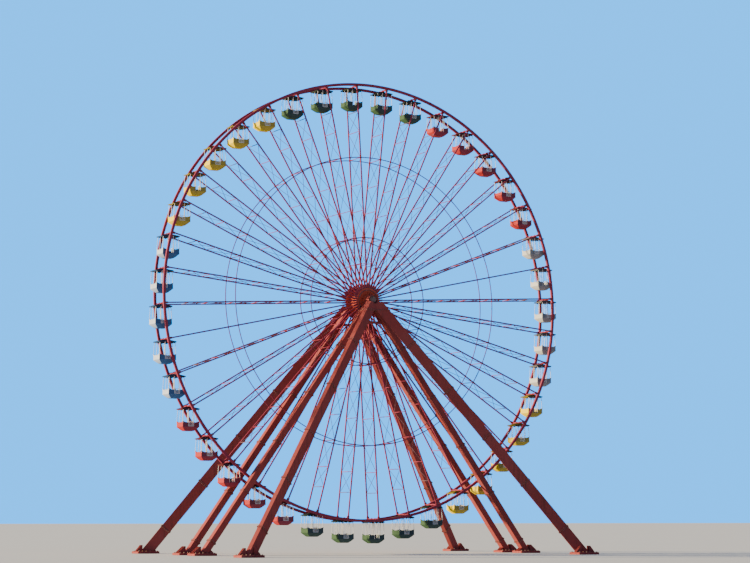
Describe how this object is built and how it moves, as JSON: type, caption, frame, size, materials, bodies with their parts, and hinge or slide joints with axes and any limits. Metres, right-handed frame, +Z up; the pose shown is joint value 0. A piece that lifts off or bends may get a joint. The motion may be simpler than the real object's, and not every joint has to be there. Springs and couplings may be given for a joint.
{
  "type": "ferris wheel, 1:2 scale model",
  "caption": "Spoked observation wheel between two four-legged towers, with open canopied gondolas that stay level as the wheel turns; half-size model.",
  "frame": {"origin": "on the ground, midway between the feet, under the middle of the axle", "axes": "+X across the wheel to the right seen from the front, +Y along the axle to the rear, +Z up"},
  "size_m": [21.5962, 12.81, 22.4983],
  "materials": {
    "tower_paint": "weathered satin paint",
    "wheel_paint": "weathered satin paint",
    "axle_steel": "turned steel",
    "gondola_blue": "sun-worn gelcoat",
    "gondola_yellow": "sun-worn gelcoat",
    "gondola_green": "sun-worn gelcoat",
    "gondola_red": "sun-worn gelcoat",
    "gondola_white": "sun-worn gelcoat"
  },
  "bodies": {
    "towers": {"front_left_inner_leg": "tower_paint", "front_left_outer_leg": "tower_paint", "front_right_inner_leg": "tower_paint", "front_right_outer_leg": "tower_paint", "rear_left_inner_leg": "tower_paint", "rear_left_outer_leg": "tower_paint", "rear_right_inner_leg": "tower_paint", "rear_right_outer_leg": "tower_paint", "front_tower_head": "tower_paint", "front_bearing": "tower_paint", "front_tower_tie": "tower_paint", "rear_tower_head": "tower_paint", "rear_bearing": "tower_paint", "rear_tower_tie": "tower_paint"},
    "wheel": {"front_wheel_side": "wheel_paint", "rear_wheel_side": "wheel_paint", "hub_drum": "wheel_paint", "axle": "axle_steel"},
    "gondola_01": {"gondola_01": "gondola_blue"},
    "gondola_02": {"gondola_02": "gondola_blue"},
    "gondola_03": {"gondola_03": "gondola_blue"},
    "gondola_04": {"gondola_04": "gondola_yellow"},
    "gondola_05": {"gondola_05": "gondola_yellow"},
    "gondola_06": {"gondola_06": "gondola_yellow"},
    "gondola_07": {"gondola_07": "gondola_yellow"},
    "gondola_08": {"gondola_08": "gondola_yellow"},
    "gondola_09": {"gondola_09": "gondola_green"},
    "gondola_10": {"gondola_10": "gondola_green"},
    "gondola_11": {"gondola_11": "gondola_green"},
    "gondola_12": {"gondola_12": "gondola_green"},
    "gondola_13": {"gondola_13": "gondola_green"},
    "gondola_14": {"gondola_14": "gondola_red"},
    "gondola_15": {"gondola_15": "gondola_red"},
    "gondola_16": {"gondola_16": "gondola_red"},
    "gondola_17": {"gondola_17": "gondola_red"},
    "gondola_18": {"gondola_18": "gondola_red"},
    "gondola_19": {"gondola_19": "gondola_white"},
    "gondola_20": {"gondola_20": "gondola_white"},
    "gondola_21": {"gondola_21": "gondola_white"},
    "gondola_22": {"gondola_22": "gondola_white"},
    "gondola_23": {"gondola_23": "gondola_white"},
    "gondola_24": {"gondola_24": "gondola_yellow"},
    "gondola_25": {"gondola_25": "gondola_yellow"},
    "gondola_26": {"gondola_26": "gondola_yellow"},
    "gondola_27": {"gondola_27": "gondola_yellow"},
    "gondola_28": {"gondola_28": "gondola_yellow"},
    "gondola_29": {"gondola_29": "gondola_green"},
    "gondola_30": {"gondola_30": "gondola_green"},
    "gondola_31": {"gondola_31": "gondola_green"},
    "gondola_32": {"gondola_32": "gondola_green"},
    "gondola_33": {"gondola_33": "gondola_green"},
    "gondola_34": {"gondola_34": "gondola_red"},
    "gondola_35": {"gondola_35": "gondola_red"},
    "gondola_36": {"gondola_36": "gondola_red"},
    "gondola_37": {"gondola_37": "gondola_red"},
    "gondola_38": {"gondola_38": "gondola_red"},
    "gondola_39": {"gondola_39": "gondola_blue"},
    "gondola_40": {"gondola_40": "gondola_blue"}
  },
  "joints": [
    {"name": "wheel_spin", "type": "hinge", "parent": "towers", "child": "wheel", "pos_m": [0, 0, 12], "axis": [0, 1, 0], "continuous": true},
    {"name": "gondola_01_swing", "type": "hinge", "parent": "wheel", "child": "gondola_01", "pos_m": [-10.3631, 0, 11.40791], "axis": [0, 1, 0], "continuous": true},
    {"name": "gondola_02_swing", "type": "hinge", "parent": "wheel", "child": "gondola_02", "pos_m": [-10.32814, 0, 13.03635], "axis": [0, 1, 0], "continuous": true},
    {"name": "gondola_03_swing", "type": "hinge", "parent": "wheel", "child": "gondola_03", "pos_m": [-10.03886, 0, 14.63926], "axis": [0, 1, 0], "continuous": true},
    {"name": "gondola_04_swing", "type": "hinge", "parent": "wheel", "child": "gondola_04", "pos_m": [-9.50239, 0, 16.17719], "axis": [0, 1, 0], "continuous": true},
    {"name": "gondola_05_swing", "type": "hinge", "parent": "wheel", "child": "gondola_05", "pos_m": [-8.73194, 0, 17.61227], "axis": [0, 1, 0], "continuous": true},
    {"name": "gondola_06_swing", "type": "hinge", "parent": "wheel", "child": "gondola_06", "pos_m": [-7.74649, 0, 18.90915], "axis": [0, 1, 0], "continuous": true},
    {"name": "gondola_07_swing", "type": "hinge", "parent": "wheel", "child": "gondola_07", "pos_m": [-6.57029, 0, 20.0359], "axis": [0, 1, 0], "continuous": true},
    {"name": "gondola_08_swing", "type": "hinge", "parent": "wheel", "child": "gondola_08", "pos_m": [-5.2323, 0, 20.96479], "axis": [0, 1, 0], "continuous": true},
    {"name": "gondola_09_swing", "type": "hinge", "parent": "wheel", "child": "gondola_09", "pos_m": [-3.76548, 0, 21.67293], "axis": [0, 1, 0], "continuous": true},
    {"name": "gondola_10_swing", "type": "hinge", "parent": "wheel", "child": "gondola_10", "pos_m": [-2.20594, 0, 22.14289], "axis": [0, 1, 0], "continuous": true},
    {"name": "gondola_11_swing", "type": "hinge", "parent": "wheel", "child": "gondola_11", "pos_m": [-0.59209, 0, 22.3631], "axis": [0, 1, 0], "continuous": true},
    {"name": "gondola_12_swing", "type": "hinge", "parent": "wheel", "child": "gondola_12", "pos_m": [1.03635, 0, 22.32814], "axis": [0, 1, 0], "continuous": true},
    {"name": "gondola_13_swing", "type": "hinge", "parent": "wheel", "child": "gondola_13", "pos_m": [2.63926, 0, 22.03886], "axis": [0, 1, 0], "continuous": true},
    {"name": "gondola_14_swing", "type": "hinge", "parent": "wheel", "child": "gondola_14", "pos_m": [4.17719, 0, 21.50239], "axis": [0, 1, 0], "continuous": true},
    {"name": "gondola_15_swing", "type": "hinge", "parent": "wheel", "child": "gondola_15", "pos_m": [5.61227, 0, 20.73194], "axis": [0, 1, 0], "continuous": true},
    {"name": "gondola_16_swing", "type": "hinge", "parent": "wheel", "child": "gondola_16", "pos_m": [6.90915, 0, 19.74649], "axis": [0, 1, 0], "continuous": true},
    {"name": "gondola_17_swing", "type": "hinge", "parent": "wheel", "child": "gondola_17", "pos_m": [8.0359, 0, 18.57029], "axis": [0, 1, 0], "continuous": true},
    {"name": "gondola_18_swing", "type": "hinge", "parent": "wheel", "child": "gondola_18", "pos_m": [8.96479, 0, 17.2323], "axis": [0, 1, 0], "continuous": true},
    {"name": "gondola_19_swing", "type": "hinge", "parent": "wheel", "child": "gondola_19", "pos_m": [9.67293, 0, 15.76548], "axis": [0, 1, 0], "continuous": true},
    {"name": "gondola_20_swing", "type": "hinge", "parent": "wheel", "child": "gondola_20", "pos_m": [10.14289, 0, 14.20594], "axis": [0, 1, 0], "continuous": true},
    {"name": "gondola_21_swing", "type": "hinge", "parent": "wheel", "child": "gondola_21", "pos_m": [10.3631, 0, 12.59209], "axis": [0, 1, 0], "continuous": true},
    {"name": "gondola_22_swing", "type": "hinge", "parent": "wheel", "child": "gondola_22", "pos_m": [10.32814, 0, 10.96365], "axis": [0, 1, 0], "continuous": true},
    {"name": "gondola_23_swing", "type": "hinge", "parent": "wheel", "child": "gondola_23", "pos_m": [10.03886, 0, 9.36074], "axis": [0, 1, 0], "continuous": true},
    {"name": "gondola_24_swing", "type": "hinge", "parent": "wheel", "child": "gondola_24", "pos_m": [9.50239, 0, 7.82281], "axis": [0, 1, 0], "continuous": true},
    {"name": "gondola_25_swing", "type": "hinge", "parent": "wheel", "child": "gondola_25", "pos_m": [8.73194, 0, 6.38773], "axis": [0, 1, 0], "continuous": true},
    {"name": "gondola_26_swing", "type": "hinge", "parent": "wheel", "child": "gondola_26", "pos_m": [7.74649, 0, 5.09085], "axis": [0, 1, 0], "continuous": true},
    {"name": "gondola_27_swing", "type": "hinge", "parent": "wheel", "child": "gondola_27", "pos_m": [6.57029, 0, 3.9641], "axis": [0, 1, 0], "continuous": true},
    {"name": "gondola_28_swing", "type": "hinge", "parent": "wheel", "child": "gondola_28", "pos_m": [5.2323, 0, 3.03521], "axis": [0, 1, 0], "continuous": true},
    {"name": "gondola_29_swing", "type": "hinge", "parent": "wheel", "child": "gondola_29", "pos_m": [3.76548, 0, 2.32707], "axis": [0, 1, 0], "continuous": true},
    {"name": "gondola_30_swing", "type": "hinge", "parent": "wheel", "child": "gondola_30", "pos_m": [2.20594, 0, 1.85711], "axis": [0, 1, 0], "continuous": true},
    {"name": "gondola_31_swing", "type": "hinge", "parent": "wheel", "child": "gondola_31", "pos_m": [0.59209, 0, 1.6369], "axis": [0, 1, 0], "continuous": true},
    {"name": "gondola_32_swing", "type": "hinge", "parent": "wheel", "child": "gondola_32", "pos_m": [-1.03635, 0, 1.67186], "axis": [0, 1, 0], "continuous": true},
    {"name": "gondola_33_swing", "type": "hinge", "parent": "wheel", "child": "gondola_33", "pos_m": [-2.63926, 0, 1.96114], "axis": [0, 1, 0], "continuous": true},
    {"name": "gondola_34_swing", "type": "hinge", "parent": "wheel", "child": "gondola_34", "pos_m": [-4.17719, 0, 2.49761], "axis": [0, 1, 0], "continuous": true},
    {"name": "gondola_35_swing", "type": "hinge", "parent": "wheel", "child": "gondola_35", "pos_m": [-5.61227, 0, 3.26806], "axis": [0, 1, 0], "continuous": true},
    {"name": "gondola_36_swing", "type": "hinge", "parent": "wheel", "child": "gondola_36", "pos_m": [-6.90915, 0, 4.25351], "axis": [0, 1, 0], "continuous": true},
    {"name": "gondola_37_swing", "type": "hinge", "parent": "wheel", "child": "gondola_37", "pos_m": [-8.0359, 0, 5.42971], "axis": [0, 1, 0], "continuous": true},
    {"name": "gondola_38_swing", "type": "hinge", "parent": "wheel", "child": "gondola_38", "pos_m": [-8.96479, 0, 6.7677], "axis": [0, 1, 0], "continuous": true},
    {"name": "gondola_39_swing", "type": "hinge", "parent": "wheel", "child": "gondola_39", "pos_m": [-9.67293, 0, 8.23452], "axis": [0, 1, 0], "continuous": true},
    {"name": "gondola_40_swing", "type": "hinge", "parent": "wheel", "child": "gondola_40", "pos_m": [-10.14289, 0, 9.79406], "axis": [0, 1, 0], "continuous": true}
  ],
  "couplings": [
    {"joint": "gondola_01_swing", "follows": "wheel_spin", "ratio": -1},
    {"joint": "gondola_02_swing", "follows": "wheel_spin", "ratio": -1},
    {"joint": "gondola_03_swing", "follows": "wheel_spin", "ratio": -1},
    {"joint": "gondola_04_swing", "follows": "wheel_spin", "ratio": -1},
    {"joint": "gondola_05_swing", "follows": "wheel_spin", "ratio": -1},
    {"joint": "gondola_06_swing", "follows": "wheel_spin", "ratio": -1},
    {"joint": "gondola_07_swing", "follows": "wheel_spin", "ratio": -1},
    {"joint": "gondola_08_swing", "follows": "wheel_spin", "ratio": -1},
    {"joint": "gondola_09_swing", "follows": "wheel_spin", "ratio": -1},
    {"joint": "gondola_10_swing", "follows": "wheel_spin", "ratio": -1},
    {"joint": "gondola_11_swing", "follows": "wheel_spin", "ratio": -1},
    {"joint": "gondola_12_swing", "follows": "wheel_spin", "ratio": -1},
    {"joint": "gondola_13_swing", "follows": "wheel_spin", "ratio": -1},
    {"joint": "gondola_14_swing", "follows": "wheel_spin", "ratio": -1},
    {"joint": "gondola_15_swing", "follows": "wheel_spin", "ratio": -1},
    {"joint": "gondola_16_swing", "follows": "wheel_spin", "ratio": -1},
    {"joint": "gondola_17_swing", "follows": "wheel_spin", "ratio": -1},
    {"joint": "gondola_18_swing", "follows": "wheel_spin", "ratio": -1},
    {"joint": "gondola_19_swing", "follows": "wheel_spin", "ratio": -1},
    {"joint": "gondola_20_swing", "follows": "wheel_spin", "ratio": -1},
    {"joint": "gondola_21_swing", "follows": "wheel_spin", "ratio": -1},
    {"joint": "gondola_22_swing", "follows": "wheel_spin", "ratio": -1},
    {"joint": "gondola_23_swing", "follows": "wheel_spin", "ratio": -1},
    {"joint": "gondola_24_swing", "follows": "wheel_spin", "ratio": -1},
    {"joint": "gondola_25_swing", "follows": "wheel_spin", "ratio": -1},
    {"joint": "gondola_26_swing", "follows": "wheel_spin", "ratio": -1},
    {"joint": "gondola_27_swing", "follows": "wheel_spin", "ratio": -1},
    {"joint": "gondola_28_swing", "follows": "wheel_spin", "ratio": -1},
    {"joint": "gondola_29_swing", "follows": "wheel_spin", "ratio": -1},
    {"joint": "gondola_30_swing", "follows": "wheel_spin", "ratio": -1},
    {"joint": "gondola_31_swing", "follows": "wheel_spin", "ratio": -1},
    {"joint": "gondola_32_swing", "follows": "wheel_spin", "ratio": -1},
    {"joint": "gondola_33_swing", "follows": "wheel_spin", "ratio": -1},
    {"joint": "gondola_34_swing", "follows": "wheel_spin", "ratio": -1},
    {"joint": "gondola_35_swing", "follows": "wheel_spin", "ratio": -1},
    {"joint": "gondola_36_swing", "follows": "wheel_spin", "ratio": -1},
    {"joint": "gondola_37_swing", "follows": "wheel_spin", "ratio": -1},
    {"joint": "gondola_38_swing", "follows": "wheel_spin", "ratio": -1},
    {"joint": "gondola_39_swing", "follows": "wheel_spin", "ratio": -1},
    {"joint": "gondola_40_swing", "follows": "wheel_spin", "ratio": -1}
  ]
}
